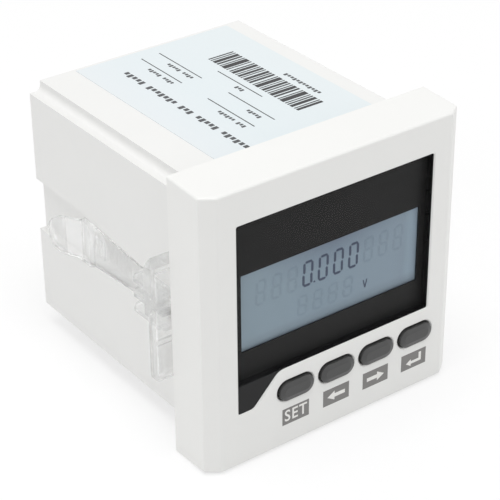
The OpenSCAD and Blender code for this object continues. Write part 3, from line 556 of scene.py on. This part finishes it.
def dressFrame():
    dress(mouldedPlastic("frontPlastic"), "front_bezel")
    dress(mouldedPlastic("casePlastic"), "housing", "rear_cover")
    dress(keyPlastic(), *["key_" + name for name in keyNames])
    dress(smokedLens(), "window_lens")
    dress(mouldedPlastic("blackPlastic"), "lcd_frame")
    dress(liquidCrystal(), "lcd_cell")
    dress(clearPlastic(), "left_clip", "right_clip")
    dress(labelFilm(), "rating_label")
    dress(mouldedPlastic("terminalPlastic"), "upper_terminal_block", "lower_terminal_block")
    dress(metal("zincScrews"), "display_screws", "cover_screws", "terminal_screws")
    dress(metal("tinnedBrass"), "terminal_cages")
    dress(circuitBoard("frontBoard", "X", "Z"), "display_board", "terminal_board")
    dress(circuitBoard("flatBoard", "X", "Y"), "main_board")
    dress(chipBlack(), "display_chip", "meter_chip", "front_header", "rear_header", "key_switches")
    dress(flatInk("plungerPlastic"), *["plunger_" + name for name in keyNames])
    dress(lightGuide(), "backlight")
    dress(contactRubber(), "contact_strip")
    dress(laminatedSteel(), "transformer_core")
    dress(coilTape(), "transformer_coil")
    dress(capacitorSleeve(), "capacitors")
    dress(pottedCase(), "sense_transformer")
    print("frame dressed")


# print is drawn flat in X and Y, and then stood up on a face or laid on one
def settle(piece, name, finish):
    clearChoice()
    piece.select_set(True)
    bpy.context.view_layer.objects.active = piece
    bpy.ops.object.transform_apply(location=True, rotation=True, scale=True)
    bpy.ops.object.mode_set(mode="EDIT")
    bpy.ops.mesh.select_all(action="SELECT")
    bpy.ops.mesh.normals_make_consistent(inside=False)
    bpy.ops.object.mode_set(mode="OBJECT")
    piece.name = name
    piece.data.name = name
    piece.data.materials.clear()
    piece.data.materials.append(finish.material)
    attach(piece, "case")


def joined(pieces):
    clearChoice()
    for piece in pieces:
        piece.select_set(True)
    bpy.context.view_layer.objects.active = pieces[0]
    bpy.ops.object.transform_apply(location=True, rotation=True, scale=True)
    bpy.ops.object.join()
    return bpy.context.object


# stands a flat drawing up on a plane that faces the front, at depth y
def standUp(piece, y):
    piece.rotation_euler = (math.radians(90), 0, 0)
    piece.location = (0, y, 0)
    return piece


# lays a flat drawing on a face that looks up, at height z
def laid(piece, z):
    piece.location = (0, 0, z)
    return piece


def thicken(thick):  # what is selected in edit mode
    bpy.ops.mesh.extrude_region_move(TRANSFORM_OT_translate={"value": (0, 0, thick * mm)})


# a bar of ink with its corners cut by the given amount
def inkBar(x, y, w, h, thick, cut=0.0):
    clearChoice()
    bpy.ops.mesh.primitive_plane_add(size=1, location=(x * mm, y * mm, 0))
    bar = bpy.context.object
    bar.scale = (w * mm, h * mm, 1)
    bpy.ops.object.transform_apply(location=True, rotation=True, scale=True)
    bpy.ops.object.mode_set(mode="EDIT")
    bpy.ops.mesh.select_all(action="SELECT")
    if cut:
        bpy.ops.mesh.bevel(offset=cut * mm, segments=1, affect="VERTICES", clamp_overlap=True)
        bpy.ops.mesh.select_all(action="SELECT")
    thicken(thick)
    bpy.ops.object.mode_set(mode="OBJECT")
    return bar


# a flat shape with any outline: a filled ring whose corners are set one by one
def inkShape(x, y, corners, thick):
    clearChoice()
    bpy.ops.mesh.primitive_circle_add(vertices=len(corners), fill_type="NGON")
    shape = bpy.context.object
    for vertex, (cx, cy) in zip(shape.data.vertices, corners):
        vertex.co = ((x + cx) * mm, (y + cy) * mm, 0)
    bpy.ops.object.mode_set(mode="EDIT")
    bpy.ops.mesh.select_all(action="SELECT")
    thicken(thick)
    bpy.ops.object.mode_set(mode="OBJECT")
    return shape


# patches under the keys, and the signs on them; all in millimetres
markPrint = {"patchW": 7.7, "patchH": 4.45, "drop": 7.15, "thick": 0.03}
arrowMark = {"span": 5.2, "stroke": 1.0, "headL": 2.1, "headH": 2.5}
returnMark = {"w": 4.7, "h": 3.0, "stroke": 0.75, "headL": 1.5, "headH": 1.9}
wordMark = {"words": "SET", "height": 2.95, "capital": 0.69, "heavy": 0.06, "spread": 1.14, "narrow": 0.9,
            "steps": 3, "weld": 0.001}


# capital is the height of a capital letter for a font size of 1. a converted letter's faces and
# walls share no corners, so they are welded, and settle can then turn all of them outwards
def keyWord(x, y):
    w = wordMark
    clearChoice()
    bpy.ops.object.text_add(location=(x * mm, y * mm, 0))
    text = bpy.context.object
    text.data.body = w["words"]
    text.data.align_x = "CENTER"
    text.data.align_y = "CENTER"
    text.data.size = w["height"] * mm / w["capital"]
    text.data.extrude = markPrint["thick"] * mm / 2
    text.data.offset = w["heavy"] * mm
    text.data.space_character = w["spread"]
    text.scale.x = w["narrow"]
    text.data.resolution_u = w["steps"]
    bpy.ops.object.convert(target="MESH")
    bpy.ops.object.mode_set(mode="EDIT")
    bpy.ops.mesh.select_all(action="SELECT")
    bpy.ops.mesh.remove_doubles(threshold=w["weld"] * mm)
    bpy.ops.object.mode_set(mode="OBJECT")
    return bpy.context.object


# an arrow that points left (way 1) or right (way -1)
def arrow(x, y, way):
    a = arrowMark
    tip, tail, half = -a["span"] / 2, a["span"] / 2, a["stroke"] / 2
    neck = tip + a["headL"]
    corners = [(tip, 0), (neck, a["headH"] / 2), (neck, half), (tail, half),
               (tail, -half), (neck, -half), (neck, -a["headH"] / 2)]
    return inkShape(x, y, [(way * cx, cy) for cx, cy in corners], markPrint["thick"])


# the return sign: an arrow that points left, its tail turned up
def returnSign(x, y):
    r = returnMark
    left, right, low, half = -r["w"] / 2, r["w"] / 2, -r["h"] / 2, r["stroke"] / 2
    mid = low + r["headH"] / 2
    neck, bend = left + r["headL"], right - 2 * half
    corners = [(left, mid), (neck, mid + r["headH"] / 2), (neck, mid + half), (bend, mid + half),
               (bend, low + r["h"]), (right, low + r["h"]), (right, mid - half),
               (neck, mid - half), (neck, mid - r["headH"] / 2)]
    return inkShape(x, y, corners, markPrint["thick"])


def printKeyMarks():
    m = markPrint
    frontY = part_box("front_bezel")[0].y
    patches, glyphs = [], []
    for name in keyNames:
        low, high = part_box("key_" + name)
        x, z = (low.x + high.x) / 2 / mm, (low.z + high.z) / 2 / mm - m["drop"]
        patches.append(inkBar(x, z, m["patchW"], m["patchH"], m["thick"]))
        if name == "set":
            glyphs.append(keyWord(x, z))
        elif name == "enter":
            glyphs.append(returnSign(x, z))
        else:
            glyphs.append(arrow(x, z, 1 if name == "left_arrow" else -1))
    raised = frontY - m["thick"] * mm
    settle(standUp(joined(patches), frontY), "keyPatches", flatInk("patchInk"))
    settle(standUp(joined(glyphs), raised), "keyGlyphs", flatInk("glyphInk"))
    print("key marks printed")


# figures of seven bars, in millimetres; the upper row is lit in part, the lower one is all faint
digit = {"w": 2.9, "h": 6.6, "pitch": 4.38, "stroke": 0.66, "gap": 0.14, "slant": 0.08, "corner": 0.4,
         "thick": 0.02, "firstX": -7.85, "baseZ": 2.85, "lit": 4, "before": 3, "after": 3,
         "lowX": -9.3, "lowZ": -4.4, "lowH": 5.4, "low": 4, "faintSink": 0.4}
dot = {"point": (-4.28, 3.3), "side": 0.5, "cut": 0.1}
unitMark = {"x": 10.6, "z": -2.75, "w": 1.45, "h": 2.15, "stroke": 0.36}
zero = ("top", "bottom", "upLeft", "upRight", "lowLeft", "lowRight")
eight = zero + ("middle",)


# the seven bars of one figure; the wanted ones are drawn
def figure(x, z, wanted, height):
    d = digit
    half = (height - d["stroke"]) / 2
    across = d["w"] - d["stroke"]
    bars = {"top": (across / 2, 2 * half, across, 0), "middle": (across / 2, half, across, 0),
            "bottom": (across / 2, 0, across, 0), "upLeft": (0, 1.5 * half, half, 1),
            "upRight": (across, 1.5 * half, half, 1), "lowLeft": (0, half / 2, half, 1),
            "lowRight": (across, half / 2, half, 1)}
    made = []
    for name in wanted:
        bx, bz, length, upright = bars[name]
        long = length - 2 * d["gap"]
        size = (d["stroke"], long) if upright else (long, d["stroke"])
        lean = bz * d["slant"]
        made.append(inkBar(x + bx + lean + d["stroke"] / 2, z + bz + d["stroke"] / 2, *size, d["thick"],
                           d["stroke"] * d["corner"]))
    return made


def inkDot(x, z):
    return inkBar(x, z, dot["side"], dot["side"], digit["thick"], dot["cut"])


def voltSign():
    u = unitMark
    half, top, s = u["w"] / 2, u["h"] / 2, u["stroke"]
    corners = [(-half, top), (-half + s, top), (0, -top + 2 * s), (half - s, top), (half, top),
               (s / 2, -top), (-s / 2, -top)]
    return inkShape(u["x"], u["z"], corners, digit["thick"])


def drawReading():
    d = digit
    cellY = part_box("lcd_cell")[0].y
    lit = []
    for i in range(d["lit"]):
        lit += figure(d["firstX"] + i * d["pitch"], d["baseZ"], zero, d["h"])
    lit.append(inkDot(*dot["point"]))
    lit.append(voltSign())
    faint = []
    for i in [*range(-d["before"], 0), *range(d["lit"], d["lit"] + d["after"])]:
        faint += figure(d["firstX"] + i * d["pitch"], d["baseZ"], eight, d["h"])
    for i in range(d["low"]):
        faint += figure(d["lowX"] + i * d["pitch"], d["lowZ"], eight, d["lowH"])
    faint.append(inkDot(unitMark["x"], unitMark["z"] + unitMark["h"]))
    sunk = cellY + d["thick"] * mm * d["faintSink"]
    settle(standUp(joined(lit), cellY), "litSegments", flatInk("litInk"))
    settle(standUp(joined(faint), sunk), "faintSegments", flatInk("faintInk"))
    print("reading drawn")


# print of the label, in millimetres. rules: x, start and end. bars and gaps: thicknesses, taken in
# turn. words: x, start, ticks in each word, height and pitch. risers: heights of the ticks, in turn
labelPrint = {"thick": 0.02, "rule": 0.28,
              "rules": ((-2.2, 43.3, 60.6), (3.1, 42.6, 60.7), (-2.2, 14.4, 32.7), (3.5, 14.4, 32.3),
                        (8.45, 25.7, 43.5)),
              "barsX": (10.6, 18.1), "barsY": (14.8, 51.6),
              "bars": (0.9, 0.4, 1.1, 0.5, 0.4, 1.6, 0.4, 0.7, 1.2, 0.4,
                       0.5, 0.9, 0.35, 1.4, 0.4, 0.8, 0.5, 1.0, 0.4),
              "gaps": (0.35, 0.6, 0.4, 0.45, 0.5, 0.35, 0.8, 0.4),
              "words": ((-9.8, 7.0, (6, 5, 3, 7, 5), 1.75, 1.66), (-4.2, 15.5, (3, 6), 1.2, 1.05),
                        (-4.2, 44.4, (4, 5), 1.2, 1.05), (1.4, 17.2, (5,), 1.2, 1.05),
                        (1.2, 44.0, (4, 5), 1.2, 1.05), (6.7, 31.0, (3,), 1.2, 1.05),
                        (20.3, 19.0, (12,), 1.2, 1.15)),
              "risers": (1.0, 0.72, 0.72, 1.0, 0.72), "tickShare": 0.7, "tickCut": 0.1}


# a run of short ticks in place of words, along Y
def tickRun(x, start, counts, tall, pitch):
    p = labelPrint
    wide = pitch * p["tickShare"]
    made = []
    for count in counts:
        for k in range(count):
            rise = p["risers"][(k + count) % len(p["risers"])] * tall
            foot = x + (tall - rise) / 2
            made.append(inkBar(foot, start + wide / 2, rise, wide, p["thick"], p["tickCut"]))
            start += pitch
        start += pitch
    return made


# a run of bars across the label, along Y
def barRun():
    p = labelPrint
    left, right = p["barsX"]
    y, end = p["barsY"]
    made = []
    thick = p["bars"][0]
    while y + thick < end:
        made.append(inkBar((left + right) / 2, y + thick / 2, right - left, thick, p["thick"]))
        y += thick + p["gaps"][(len(made) - 1) % len(p["gaps"])]
        thick = p["bars"][len(made) % len(p["bars"])]
    return made


def printLabel():
    p = labelPrint
    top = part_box("rating_label")[1].z
    black = []
    for x, start, end in p["rules"]:
        black.append(inkBar(x, (start + end) / 2, p["rule"], end - start, p["thick"]))
    black += barRun()
    grey = []
    for run in p["words"]:
        grey += tickRun(*run)
    settle(laid(joined(black), top), "labelBlack", flatInk("labelBlackInk"))
    settle(laid(joined(grey), top), "labelGrey", flatInk("labelGreyInk"))
    print("label printed")


placeCamera()
hangLamps()
lightSky()
layFloor()
dressFrame()
printKeyMarks()
drawReading()
printLabel()
